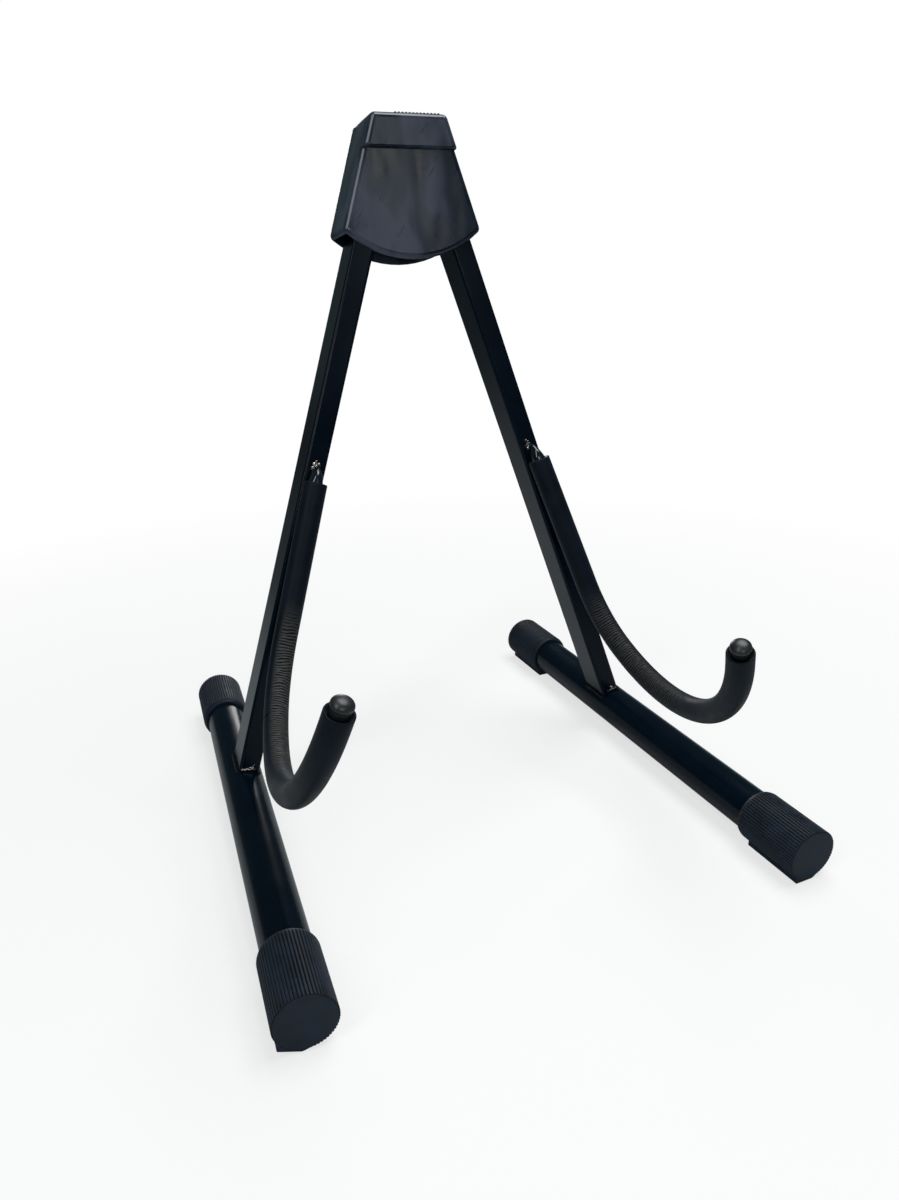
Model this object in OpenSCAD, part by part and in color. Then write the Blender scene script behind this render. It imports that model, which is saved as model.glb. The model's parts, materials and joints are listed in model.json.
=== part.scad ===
// Folding A-frame guitar stand.
// Two steel leg assemblies hang on pivots in a moulded head. Each one carries
// a floor tube with a rubber end cap at both ends, and a J-shaped hook in foam.
// Rest position: standing open, legs against their stops. Front is -Y, up is +Z.
// The floor is z = 0 and the origin is the middle of the footprint.

/* [Stance] */
// Backward lean of the plane that holds both legs, degrees
leg_lean = 6.7; // [3:0.1:12]
// Splay of each leg from the middle, degrees
leg_splay = 18.3; // [15:0.1:22]
// Distance between the two pivots
pivot_spacing = 21.4; // [20:0.2:30]

/* [Legs] */
// Length of a leg from its pivot to the axis of the floor tube
leg_len = 365.5; // [320:0.5:420]
// Width of the leg tube, seen from the front
leg_w = 12; // [10:0.5:14]
// Depth of the leg tube, front to back
leg_d = 22; // [18:0.5:26]
// Wall of the leg tube
leg_wall = 1.2; // [0.8:0.1:2]
// Outer corner radius of the leg tube
leg_corner = 1.6; // [1.3:0.1:2.5]
// Leg above its pivot
leg_over = 4.8; // [4.2:0.1:5.2]

/* [Floor tubes] */
// Outer diameter of the floor tube
tube_d = 24; // [20:0.5:28]
// Wall of the floor tube
tube_wall = 1.2; // [0.8:0.1:2]
// Floor tube from the leg to the face of the front cap
tube_front = 186.7; // [150:0.5:230]
// Floor tube from the leg to the face of the rear cap
tube_rear = 117.2; // [90:0.5:150]

/* [End caps] */
// Length of an end cap
cap_len = 40.6; // [30:0.5:50]
// Thickness of the cap around the tube, ribs included
cap_wall = 2.5; // [2:0.1:4]
// Thickness of the closed end
cap_end = 3; // [2:0.1:5]
// Number of ribs around a cap
cap_ribs = 56; // [40:1:64]
// Depth of the grooves between the ribs
rib_depth = 0.5; // [0.3:0.05:0.9]
// Radius of the edge of the disc at the closed end
cap_round = 0.6; // [0.3:0.1:1.5]
// How far the disc stands beyond the ribs
end_step = 0.4; // [0.2:0.1:1]
// Length of the rounded shoulder at the open end
shoulder = 3.4; // [2:0.1:6]
// Width of the smooth lip around the open end
mouth_lip = 1.4; // [0.8:0.1:1.6]
// Height of the flat sole below the ribs
sole_h = 1.2; // [0.8:0.1:2.5]
// Width of the flat sole
sole_w = 10.5; // [9:0.5:14]
// Upright edge of the sole, from the middle of the cap
sole_edge = 8.2; // [7:0.1:9]
// Radius of the bottom of the sole's upright edge
sole_round = 1; // [0.5:0.1:2]
// Radius where the other side of the sole runs out into the ribs
sole_blend = 3; // [2:0.1:5]
// Start of a front sole behind the open end
sole_front = 5; // [4:0.5:12]
// Start of a rear sole behind the open end
sole_rear = 1; // [0.5:0.5:12]
// How far a sole ends behind the face of the closed end
sole_back = 0.8; // [0.6:0.1:2]

/* [Head] */
// Head above the pivots
head_above = 10.4; // [8.8:0.1:12]
// Height of the raised block at the top of the head
block_h = 16.6; // [15:0.1:20]
// Radius of the arc along the bottom of the head, centred between the pivots
head_arc = 60.4; // [54:0.2:70]
// From the middle of a leg to the outer side of the head
head_side = 12.9; // [12:0.1:16]
// Wall of the head shells
shell_wall = 2; // [1.6:0.1:2.4]
// How far the raised block stands in front of the lower panel
block_out = 3.8; // [3.6:0.1:6]
// Depth of the head behind the middle of the legs
head_back = 17.2; // [16:0.1:20]
// Where the two shells meet, behind the middle of the legs
seam = 3; // [0:0.5:6]
// Upper stiffening rib inside the rear shell, below the pivots
stiffener_up = 26; // [24:0.5:30]
// Lower stiffening rib inside the rear shell, below the pivots
stiffener_low = 38; // [34:0.5:42]
// Thickness of the stiffening ribs
stiffener_t = 1.6; // [1.2:0.1:2]
// Radius of the front edges of the head
front_round = 3; // [1.5:0.1:3.5]
// Radius of the rear edges of the head
rear_round = 1.8; // [1:0.1:2.5]
// Radius of the corners in the head's outline
corner_round = 3.2; // [2:0.1:5]
// Number of grip ribs across the top of the head
grip_ribs = 13; // [5:2:15]
// Spacing of the grip ribs
grip_pitch = 2; // [1.8:0.1:2.4]
// Middle of the grip ribs, to the right of the middle of the head
grip_shift = 4.9; // [-4:0.1:5]
// Radius of a grip rib
grip_r = 0.8; // [0.5:0.05:0.9]

/* [Pivots] */
// Diameter of the pivot bolts
bolt_d = 5; // [4:0.1:5]
// Radial running clearance of the leg on its pivot bolt
run_fit = 0.05; // [0.03:0.01:0.09]
// Diameter of the pivot bolt heads
bolt_head_d = 9.2; // [8.5:0.1:9.8]
// Height of the pivot bolt heads
bolt_head_h = 2.1; // [1.6:0.1:2.2]
// Width of the pivot nuts across their flats
nut_w = 8; // [7.6:0.1:8.4]
// Thickness of the pivot nuts
nut_t = 2.7; // [2:0.1:2.9]
// Diameter of the friction washers
washer_d = 13; // [11:0.5:14]
// Thickness of the friction washers
washer_t = 1; // [0.6:0.1:1.2]
// Outer diameter of the spacer sleeve inside a leg
sleeve_d = 7.4; // [6.6:0.1:8]
// Clearance between moving faces
face_gap = 0.15; // [0.1:0.05:0.3]

/* [Shell screws] */
// Diameter of the screws that close the head
screw_d = 2.9; // [2.5:0.1:3.1]
// Diameter of the screw heads
screw_head_d = 5.6; // [5:0.1:5.8]
// Upper screw below the pivots
screw_up = 16; // [13:0.5:20]
// Lower screw below the pivots
screw_low = 50; // [40:0.5:53]

/* [Hooks] */
// Diameter of the hook rod
rod_d = 8; // [7:0.1:9]
// Top end of the foam, measured up the leg from the floor tube's axis
hook_up = 182; // [150:1:230]
// Hook axis in front of the leg's front face at the top of the foam
hook_out = 7.1; // [7:0.1:10]
// Lean of the straight upper part away from the leg, degrees
hook_lean = 8.1; // [5:0.1:12]
// Length of the straight upper part
hook_straight = 83.4; // [60:0.5:100]
// Radius of the first bend
bend_1_r = 52.9; // [40:0.5:70]
// Angle of the first bend, degrees
bend_1_a = 51.8; // [40:0.2:60]
// Straight between the two bends
hook_mid = 2; // [1.5:0.5:10]
// Radius of the second bend, under the instrument
bend_2_r = 92.4; // [70:0.5:110]
// Angle of the second bend, degrees
bend_2_a = 98.2; // [85:0.2:105]
// Straight end after the second bend
hook_end = 6.4; // [2:0.2:20]
// Radius of the bend where the rod turns in to the leg
top_bend_r = 7; // [6:0.5:10]
// Angle of that bend, degrees
top_bend_a = 94; // [88:1:100]
// Width of the rod's tapered end at its top
nose_w = 3.2; // [2.4:0.1:6]
// Outward turn of the left hook about its leg, degrees
turn_left = 6; // [-8:0.5:10]
// Outward turn of the right hook about its leg, degrees
turn_right = -5; // [-8:0.5:10]

/* [Foam and tips] */
// Wall of the foam sleeve
foam_wall = 2.5; // [2:0.1:2.6]
// Clearance of the foam and the tip cap on the rod
slip = 0.1; // [0.05:0.05:0.2]
// Rod beyond the end of the foam
rod_beyond = 4; // [3:0.1:6]
// Wall of the tip cap
tip_wall = 0.9; // [0.7:0.1:1.2]
// Height of the dome of the tip cap
tip_dome = 2.8; // [1.8:0.1:4]

/* [Welds] */
// Throat of the weld around the foot of a leg
foot_weld_t = 1.3; // [0.8:0.1:2]
// Radius of the weld bead at the top of a hook
hook_weld_r = 2.3; // [1.5:0.1:3]

/* [Hidden] */
$fn = 96;

tube_r = tube_d / 2;
cap_r = tube_r + cap_wall;
axis_h = cap_r + sole_h;                         // floor tube axis above the floor
pivot_x = pivot_spacing / 2;
pivot_up = leg_len * cos(leg_splay);             // pivots above the tube axes, up the leg plane
foot_x = pivot_x + leg_len * sin(leg_splay);     // tube axis from the middle, at the leg
toe = atan(sin(leg_lean) * tan(leg_splay));      // toe-out that lays the tubes parallel when folded
mid_y = (tube_front - tube_rear) / 2 * cos(toe); // puts the origin in the middle of the footprint
sole_flat_end = sole_w - sole_edge;
cap_turn = 2 * atan(sole_flat_end / (axis_h - sole_blend)); // rocks a cap onto the round side of its sole
leg_face = leg_d / 2;
panel_in = leg_face + 2 * face_gap;              // inner face of the lower front panel
panel_out = panel_in + shell_wall;
block_front = panel_out + block_out;
block_in = block_front - shell_wall;
head_in = head_back - shell_wall;                // inner face of the rear wall
step_h = head_above - block_h;                   // lower edge of the block, from the pivots
boss_rear = leg_face + 2 * face_gap + washer_t;  // rear pivot boss carries the washer
foam_r = rod_d / 2 + foam_wall;
tip_r = rod_d / 2 + slip / 2 + tip_wall;
hook_dy = leg_face + hook_out;
bolt_r = bolt_d / 2;
eps = 0.01;
swell = 0.03;
lap = 0.5;

// places

module in_head() {
  translate([0, mid_y, axis_h]) rotate([-leg_lean, 0, 0]) translate([0, 0, pivot_up]) children();
}
module in_leg(sg) {
  translate([sg * foot_x, mid_y, axis_h]) rotate([-leg_lean, 0, 0])
    rotate([0, -sg * leg_splay, 0]) children();
}
module in_tube(sg) {
  translate([sg * foot_x, mid_y, axis_h]) rotate([0, 0, sg * toe]) children();
}
// pivot axis along Y, with the origin between the leg faces
module at_pivot(sg) { in_head() translate([sg * pivot_x, 0, 0]) children(); }
// a cylinder along Y from y0 to y1
module rod_y(r, y0, y1, n = $fn) { translate([0, y1, 0]) rotate([90, 0, 0]) cylinder(r = r, h = y1 - y0, $fn = n); }
module hex_y(w, y0, y1) {
  translate([0, y1, 0]) rotate([90, 0, 0]) cylinder(r = w / sqrt(3), h = y1 - y0, $fn = 6);
}

// head outline, seen from the front, inset by d from the outer surface

function side_c(d) = pivot_x * cos(leg_splay) + head_side - d;
function side_x(h, d) = (side_c(d) - h * sin(leg_splay)) / cos(leg_splay);
function arc_corner(d) = let (c = side_c(d), q = sqrt(pow(head_arc - d, 2) - c * c))
  [c * cos(leg_splay) + q * sin(leg_splay), c * sin(leg_splay) - q * cos(leg_splay)];
function round_at(p, r, a0, a1, n = 5) = [for (i = [0 : n]) let (a = a0 + (a1 - a0) * i / n)
  [p[0] + r * cos(a), p[1] + r * sin(a)]];
function mirrored(half) = concat(half, [for (i = [len(half) - 1 : -1 : 0])
  if (abs(half[i][0]) > 0.001) [-half[i][0], half[i][1]]]);
// whole fan: flat top, sides along the legs, arc below
function fan(d) = let (r = max(corner_round - d, 0.4), top = head_above - d - r,
    low = arc_corner(d + r), a = atan2(low[1], low[0]))
  mirrored(concat(round_at([side_x(top, d + r), top], r, 90, leg_splay),
    round_at(low, r, leg_splay, a), round_at([0, 0], head_arc - d, a - (a + 90) / 8, -90, 7)));
// upper block: the same sides, cut straight at the step
function block(d) = let (r = max(corner_round - d, 0.4), top = head_above - d - r,
    q = 0.6, low = step_h + min(d, 1) + q)
  mirrored(concat(round_at([side_x(top, d + r), top], r, 90, leg_splay),
    round_at([side_x(low, d + q), low], q, leg_splay, -90), [[0, low - q]]));

// skin through outlines of equal length, each at its own y, from rear to front
module loft(rings, ys) {
  n = len(rings[0]);
  m = len(rings);
  polyhedron(
    points = [for (k = [0 : m - 1]) for (p = rings[k]) [p[0], ys[k], p[1]]],
    faces = concat(
      [[for (i = [n - 1 : -1 : 0]) i]],
      [[for (i = [0 : n - 1]) (m - 1) * n + i]],
      [for (k = [0 : m - 2]) for (i = [0 : n - 1]) let (j = (i + 1) % n)
        [k * n + i, (k + 1) * n + j, (k + 1) * n + i]],
      [for (k = [0 : m - 2]) for (i = [0 : n - 1]) let (j = (i + 1) % n)
        [k * n + i, k * n + j, (k + 1) * n + j]]));
}
module slab(pts, y0, y1) { translate([0, y1, 0]) rotate([90, 0, 0]) linear_extrude(y1 - y0) polygon(pts); }

// cavity outline: open at the bottom, where the legs come out
function cavity() = let (t = head_above - shell_wall, b = -head_arc - 5)
  [[side_x(t, shell_wall), t], [-side_x(t, shell_wall), t], [-side_x(b, shell_wall), b],
   [side_x(b, shell_wall), b]];
function block_cavity() = let (t = head_above - shell_wall, b = step_h + shell_wall)
  [[side_x(t, shell_wall), t], [-side_x(t, shell_wall), t], [-side_x(b, shell_wall), b],
   [side_x(b, shell_wall), b]];

// stop rib beside the outer face of an open leg, between y0 and y1
module stop_rib(sg, y0, y1) {
  at_leg = leg_w / 2 + face_gap;
  translate([sg * pivot_x, 0, 0]) rotate([0, -sg * leg_splay, 0])
    translate([sg > 0 ? at_leg : -at_leg - shell_wall, y0, -42]) cube([shell_wall, y1 - y0, 38]);
}

module head_front_shell() {
  steps = 4;
  color("#3b424c") in_head() difference() {
    union() {
      difference() {
        union() {
          loft(concat([fan(0)], [for (i = [0 : steps]) fan(front_round * (1 - cos(90 * i / steps)))]),
            concat([seam], [for (i = [0 : steps])
              -panel_out + front_round - front_round * sin(90 * i / steps)]));
          loft(concat([block(0)], [for (i = [0 : steps]) block(front_round * (1 - cos(90 * i / steps)))]),
            concat([-panel_in], [for (i = [0 : steps])
              -block_front + front_round - front_round * sin(90 * i / steps)]));
          for (i = [0 : grip_ribs - 1])
            translate([grip_shift + (i - (grip_ribs - 1) / 2) * grip_pitch, 0, head_above - 0.2])
              rod_y(grip_r, -block_front + front_round, seam, 24);
        }
        slab(cavity(), -panel_in, seam + 1);
        slab(block_cavity(), -block_in, seam);
      }
      for (sg = [-1, 1]) {
        translate([sg * pivot_x, 0, 0]) rod_y(nut_w / sqrt(3) + 1.2, -block_in - eps, -panel_in);
        stop_rib(sg, -panel_in - eps, seam);
      }
      for (h = [screw_up, screw_low])
        translate([0, 0, -h]) rod_y(screw_d / 2 + 1.7, -panel_in - eps, seam);
    }
    for (sg = [-1, 1]) translate([sg * pivot_x, 0, 0]) {
      hex_y(nut_w + 0.2, -panel_in - nut_t, -panel_in + 1);
      rod_y(bolt_r + 0.2, -block_in, -panel_in);
    }
    for (h = [screw_up, screw_low]) translate([0, 0, -h]) rod_y(screw_d / 2 + slip / 2, -panel_in + 0.6, seam + 1);
  }
}

module head_rear_shell() {
  steps = 4;
  color("#343b44") in_head() difference() {
    union() {
      difference() {
        loft(concat([for (i = [0 : steps]) fan(rear_round * (1 - sin(90 * i / steps)))], [fan(0)]),
          concat([for (i = [0 : steps]) head_back - rear_round + rear_round * cos(90 * i / steps)], [seam]));
        slab(cavity(), seam - 1, head_in);
      }
      for (sg = [-1, 1]) {
        translate([sg * pivot_x, 0, 0]) rod_y(washer_d / 2 + 0.4, boss_rear, head_in + eps);
        stop_rib(sg, seam, head_in + eps);
      }
      for (h = [screw_up, screw_low])
        translate([0, 0, -h]) rod_y(screw_d / 2 + 1.7, seam, head_in + eps);
      intersection() {
        slab(cavity(), leg_face + 2 * face_gap, head_in + eps);
        union() for (h = [stiffener_up, stiffener_low])
          translate([-head_arc, 0, -h]) cube([2 * head_arc, 2 * head_back, stiffener_t]);
      }
    }
    for (sg = [-1, 1]) translate([sg * pivot_x, 0, 0]) {
      rod_y(bolt_r + slip, boss_rear - 1, head_back + 1);
      rod_y(bolt_head_d / 2 + 0.3, head_back - bolt_head_h - 0.2, head_back + 1);
    }
    for (h = [screw_up, screw_low]) translate([0, 0, -h]) {
      rod_y(screw_d / 2 + slip, seam - 1, head_back + 1);
      rod_y(screw_head_d / 2 + 0.2, head_back - 1.9, head_back + 1);
    }
  }
}

module pivot_bolt(sg) {
  under = head_back - bolt_head_h - 0.2;
  color("#50545a") at_pivot(sg) difference() {
    union() {
      rod_y(bolt_r, -panel_in - nut_t - 0.6, under + eps);
      rod_y(bolt_head_d / 2, under, head_back - 0.2);
    }
    hex_y(3, head_back - 0.2 - bolt_head_h * 0.6, head_back + 1);
  }
}
module pivot_nut(sg) {
  color("#6a6e73") at_pivot(sg) difference() {
    hex_y(nut_w, -panel_in - nut_t, -panel_in);
    rod_y(bolt_r + run_fit, -panel_in - nut_t - 1, 0);
  }
}
module pivot_washer(sg) {
  y0 = leg_face + face_gap;
  color("#d8d6cc") at_pivot(sg) difference() {
    rod_y(washer_d / 2, y0, y0 + washer_t);
    rod_y(bolt_r + run_fit, y0 - 1, y0 + washer_t + 1);
  }
}
module shell_screw(h) {
  top = head_back - 0.4;
  color("#50545a") in_head() translate([0, 0, -h]) difference() {
    union() {
      rod_y(screw_d / 2, -panel_in + 1.2, top);
      rod_y(screw_head_d / 2, head_back - 1.9, top);
    }
    for (a = [0, 90]) rotate([0, a, 0]) translate([-1.5, top - 0.9, -0.35]) cube([3, 2, 0.7]);
  }
}

// leg tube section, grown by g
module leg_section(g) {
  r = max(leg_corner + g, 0.1);
  w = leg_w + 2 * g;
  d = leg_d + 2 * g;
  union() {
    square([w - 2 * r, d], center = true);
    square([w, d - 2 * r], center = true);
    for (x = [-1, 1], y = [-1, 1]) translate([x * (w / 2 - r), y * (d / 2 - r)]) circle(r);
  }
}
module leg(sg) {
  color("#15181c") difference() {
    in_leg(sg) difference() {
      linear_extrude(leg_len + leg_over) leg_section(0);
      translate([0, 0, -1]) linear_extrude(leg_len + leg_over + 2) leg_section(-leg_wall);
      translate([0, 0, leg_len]) rod_y(bolt_r + run_fit, -leg_d, leg_d);
    }
    in_tube(sg) rod_y(tube_r, -3 * leg_d, 3 * leg_d);
  }
}
module pivot_sleeve(sg) {
  half = leg_face - leg_wall;
  color("#6a6e73") in_leg(sg) translate([0, 0, leg_len]) difference() {
    rod_y(sleeve_d / 2, -half, half);
    rod_y(bolt_r + run_fit, -half - 1, half + 1);
  }
}
module floor_tube(sg) {
  color("#15181c") in_tube(sg) difference() {
    rod_y(tube_r, -tube_front + cap_end, tube_rear - cap_end);
    rod_y(tube_r - tube_wall, -tube_front, tube_rear);
  }
}
module foot_weld(sg) {
  color("#1d2024") difference() {
    intersection() {
      in_leg(sg) translate([0, 0, tube_r / 2]) linear_extrude(tube_r * 1.5) leg_section(foot_weld_t);
      in_tube(sg) rod_y(tube_r + foot_weld_t, -leg_d, leg_d);
    }
    in_leg(sg) linear_extrude(tube_d * 1.5) leg_section(0);
    in_tube(sg) rod_y(tube_r, -2 * leg_d, 2 * leg_d);
  }
}

// ribbed end cap: open end at z = 0, closed end at z = cap_len, sole towards -Y
// with its upright edge at -X
module end_cap(start) {
  half = 180 / cap_ribs;
  low = cap_r - rib_depth;
  in_r = tube_r + slip / 2;
  mouth_r = in_r + mouth_lip;
  disc_r = low - 0.1;
  difference() {
    union() {
      intersection() {
        linear_extrude(cap_len - end_step) polygon([for (i = [0 : cap_ribs - 1]) let (a = i * 2 * half)
          for (q = [[cap_r, -0.5], [cap_r, 0.5], [low, 1]])
            q[0] * [cos(a + q[1] * half), sin(a + q[1] * half)]]);
        // rounded shoulder at the open end
        rotate_extrude() polygon([[0, 0], [mouth_r, 0], [(mouth_r + low) / 2, shoulder * 0.12],
          [cap_r - rib_depth * 0.5, shoulder * 0.5], [cap_r + 0.3, shoulder * 1.3], [cap_r + 0.3, cap_len], [0, cap_len]]);
      }
      // smooth disc of the closed end
      rotate_extrude() union() {
        translate([0, cap_len - cap_end]) square([disc_r, cap_end - cap_round]);
        translate([0, cap_len - cap_end]) square([disc_r - cap_round, cap_end]);
        translate([disc_r - cap_round, cap_len - cap_round]) circle(cap_round, $fn = 32);
      }
      translate([0, 0, start]) linear_extrude(cap_len - sole_back - start) polygon(sole_outline());
    }
    translate([0, 0, -2]) cylinder(r = in_r, h = cap_len - cap_end + 2);
  }
}
// one side upright, the other running out into the ribs along the line that just clears them
function sole_outline() = let (b = -axis_h, clear = cap_r + 0.1, up = axis_h - sole_blend,
    a = atan2(sole_flat_end, up) + acos((clear - sole_blend) / norm([sole_flat_end, up])))
  concat([[-sole_edge, b / 2]], round_at([-sole_edge + sole_round, b + sole_round], sole_round, 180, 270),
    round_at([sole_flat_end, b + sole_blend], sole_blend, -90, a - 90, 4),
    [for (r = [clear, tube_r * 0.6]) r * [sin(a), -cos(a)]]);
// the left front cap sits turned on its tube
module front_cap(sg) {
  color("#1b1d20") in_tube(sg) translate([0, -tube_front + cap_len, 0])
    rotate([90, sg < 0 ? cap_turn : 0, 0]) end_cap(sole_front);
}
module rear_cap(sg) {
  color("#1b1d20") in_tube(sg) translate([0, tube_rear - cap_len, 0]) rotate([90, 0, 180])
    mirror([1, 0, 0]) end_cap(sole_rear);
}

// Hook: runs down along -Z from the top of the foam and bends forward, towards -Y.

module at_hook(sg) {
  in_leg(sg) translate([0, -hook_dy, hook_up])
    rotate([0, 0, sg * (sg < 0 ? turn_left : turn_right)]) rotate([-hook_lean, 0, 0]) children();
}
module past_run(l) { translate([0, 0, -l]) children(); }
module past_bend(r, a) { translate([0, -r, 0]) rotate([-a, 0, 0]) translate([0, r, 0]) children(); }
// a straight of length l that starts "before" its place
module run(l, r, before = 0) { translate([0, 0, -l]) cylinder(r = r, h = l + before); }
// a bend is a hair fatter than the straights, whose ends lie inside it
module bend(br, a, r) {
  translate([0, -br, 0]) rotate([-90, 0, 90]) rotate_extrude(angle = a) translate([br, 0]) circle(r + swell);
}
module to_tip() {
  past_run(hook_straight) past_bend(bend_1_r, bend_1_a) past_run(hook_mid)
    past_bend(bend_2_r, bend_2_a) past_run(hook_end) children();
}
// everything from the top of the foam to its end, with more straight at either end
module hook_line(r, above, more) {
  run(hook_straight + lap, r, above);
  past_run(hook_straight) {
    bend(bend_1_r, bend_1_a, r);
    past_bend(bend_1_r, bend_1_a) {
      run(hook_mid + lap, r, lap);
      past_run(hook_mid) {
        bend(bend_2_r, bend_2_a, r);
        past_bend(bend_2_r, bend_2_a) run(hook_end + more, r, lap);
      }
    }
  }
}
// the rod turns back to the leg above the foam, with its end tapered at the sides
module hook_nose() {
  r = rod_d / 2 + swell;
  top = top_bend_r + r;
  intersection() {
    union() {
      translate([0, top_bend_r, 0]) rotate([90, 0, -90]) rotate_extrude(angle = top_bend_a)
        translate([top_bend_r, 0]) circle(r);
      translate([0, top_bend_r, 0]) rotate([-top_bend_a, 0, 0]) translate([0, -top_bend_r, -lap])
        cylinder(r = rod_d / 2, h = hook_out + lap);
    }
    rotate([90, 0, 0]) linear_extrude(4 * top, center = true)
      polygon([[-r - lap, -1], [r + lap, -1], [r + lap / 2, 2 * lap], [nose_w / 2, top],
        [-nose_w / 2, top], [-r - lap / 2, 2 * lap]]);
  }
}
module hook_rod(sg) {
  color("#2a2d31") difference() {
    at_hook(sg) {
      hook_line(rod_d / 2, lap, rod_beyond);
      hook_nose();
    }
    in_leg(sg) translate([-leg_d, -leg_face, 0]) cube([2 * leg_d, 2 * leg_d, leg_len]);
  }
}
module foam_sleeve(sg) {
  color("#26282b") at_hook(sg) difference() {
    hook_line(foam_r, 0, 0);
    hook_line(rod_d / 2 + slip, 1, 1);
  }
}
module tip_cap(sg) {
  h = rod_beyond + slip / 2;
  ball = (tip_r * tip_r + tip_dome * tip_dome) / (2 * tip_dome);
  color("#1b1d20") at_hook(sg) to_tip() rotate([180, 0, 0]) difference() {
    union() {
      translate([0, 0, 0.4]) cylinder(r = tip_r, h = h - 0.4);
      intersection() {
        translate([0, 0, h - eps]) cylinder(r = tip_r, h = tip_dome + 1);
        translate([0, 0, h + tip_dome - ball]) sphere(ball);
      }
    }
    cylinder(r = rod_d / 2 + slip / 2, h = h);
  }
}
// height above the foam at which the front of the rod meets the leg
function weld_z() = let (r = top_bend_r + rod_d / 2, c = [top_bend_r * sin(hook_lean), top_bend_r * cos(hook_lean)],
    g = acos((c[1] - hook_out) / r)) r * sin(g) - c[0];
module hook_weld(sg) {
  color("#5b5d5f") difference() {
    in_leg(sg) translate([0, -leg_face, hook_up + weld_z() - 0.4]) sphere(hook_weld_r);
    in_leg(sg) translate([-leg_d, -leg_face, 0]) cube([2 * leg_d, 2 * leg_d, leg_len]);
    at_hook(sg) hook_nose();
  }
}

head_front_shell();
head_rear_shell();
pivot_bolt(-1);  // pivot_bolt_left
pivot_bolt(1);  // pivot_bolt_right
pivot_nut(-1);  // pivot_nut_left
pivot_nut(1);  // pivot_nut_right
pivot_washer(-1);  // pivot_washer_left
pivot_washer(1);  // pivot_washer_right
shell_screw(screw_up);  // shell_screw_upper
shell_screw(screw_low);  // shell_screw_lower
leg(-1);  // leg_left
pivot_sleeve(-1);  // pivot_sleeve_left
floor_tube(-1);  // floor_tube_left
front_cap(-1);  // front_cap_left
rear_cap(-1);  // rear_cap_left
hook_rod(-1);  // hook_rod_left
foam_sleeve(-1);  // foam_sleeve_left
tip_cap(-1);  // tip_cap_left
hook_weld(-1);  // hook_weld_left
foot_weld(-1);  // foot_weld_left
leg(1);  // leg_right
pivot_sleeve(1);  // pivot_sleeve_right
floor_tube(1);  // floor_tube_right
front_cap(1);  // front_cap_right
rear_cap(1);  // rear_cap_right
hook_rod(1);  // hook_rod_right
foam_sleeve(1);  // foam_sleeve_right
tip_cap(1);  // tip_cap_right
hook_weld(1);  // hook_weld_right
foot_weld(1);  // foot_weld_right
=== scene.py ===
# Looks of a folding A-frame guitar stand, in metres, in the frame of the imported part.
# Front is -Y, up is +Z, and the stand rests on z = 0.
import json
import math

import bmesh
import bpy
from mathutils import Matrix, Vector, noise


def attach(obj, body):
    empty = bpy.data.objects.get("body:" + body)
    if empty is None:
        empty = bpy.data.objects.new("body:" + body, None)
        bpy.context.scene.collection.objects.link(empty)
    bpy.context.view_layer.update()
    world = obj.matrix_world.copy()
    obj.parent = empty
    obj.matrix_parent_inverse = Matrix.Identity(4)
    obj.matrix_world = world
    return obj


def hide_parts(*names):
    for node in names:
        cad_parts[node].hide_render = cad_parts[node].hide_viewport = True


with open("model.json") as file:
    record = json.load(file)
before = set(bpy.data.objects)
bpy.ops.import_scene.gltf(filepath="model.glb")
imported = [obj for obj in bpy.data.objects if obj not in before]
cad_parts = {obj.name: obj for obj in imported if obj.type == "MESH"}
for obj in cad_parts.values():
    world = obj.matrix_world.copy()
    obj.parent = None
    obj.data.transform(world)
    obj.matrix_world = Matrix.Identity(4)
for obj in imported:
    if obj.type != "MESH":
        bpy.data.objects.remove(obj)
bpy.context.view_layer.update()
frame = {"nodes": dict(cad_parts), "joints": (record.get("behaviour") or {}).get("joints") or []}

MM = 0.001
SIDES = {"left": -1, "right": 1}

# Camera, fitted to the outlines of the stand
PHOTO_SIZE = (899, 1200)
CAMERA_PLACE = (-0.17628, -0.41848, 0.30756)
CAMERA_YAW = 22.20
CAMERA_PITCH = 22.08
CAMERA_ROLL = -0.66
FOCAL_PX = 868.88
SENSOR_WIDTH = 36

# Leg assemblies
LEG_LEAN = 6.7
LEG_SPLAY = 18.3
LEG_LEN = 365.5 * MM
LEG_DEPTH = 22 * MM
# The floor tubes toe out by what makes them parallel once the legs are folded
TOE = math.degrees(math.atan(math.sin(math.radians(LEG_LEAN)) * math.tan(math.radians(LEG_SPLAY))))

# Caps on the floor tubes
CAP_R = 14.5 * MM
RIB_DEPTH = 0.5 * MM

# Hooks: where the foam starts on the leg, then a route of straights, as lengths, and bends, as
# radius and degrees
HOOK_UP = 182 * MM
HOOK_OUT = 7.1 * MM
HOOK_LEAN = 8.1
HOOK_TURN = {"left": -6, "right": -5}
HOOK_ROUTE = ((None, 83.4 * MM), (52.9 * MM, 51.8), (None, 2 * MM), (92.4 * MM, 98.2),
              (None, 6.4 * MM))
ROD_R = 4 * MM
FOAM_R = 6.5 * MM
FOAM_BORE_R = 4.1 * MM


def shift(x, y, z):
    return Matrix.Translation((x, y, z))


def turn(axis, degrees):
    return Matrix.Rotation(math.radians(degrees), 4, axis)


def in_leg(side):
    """Leg frame: origin on the axis of the floor tube, +Z up the leg, front -Y."""
    pivot = next(j["pos_m"] for j in frame["joints"] if j["child"] == side + "_leg")
    lean_and_splay = turn("X", -LEG_LEAN) @ turn("Y", -SIDES[side] * LEG_SPLAY)
    return shift(*pivot) @ lean_and_splay @ shift(0, 0, -LEG_LEN)


def in_tube(side):
    """Floor tube frame: origin where the leg stands, +Y along the tube to the rear."""
    return shift(*in_leg(side).translation) @ turn("Z", SIDES[side] * TOE)


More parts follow.
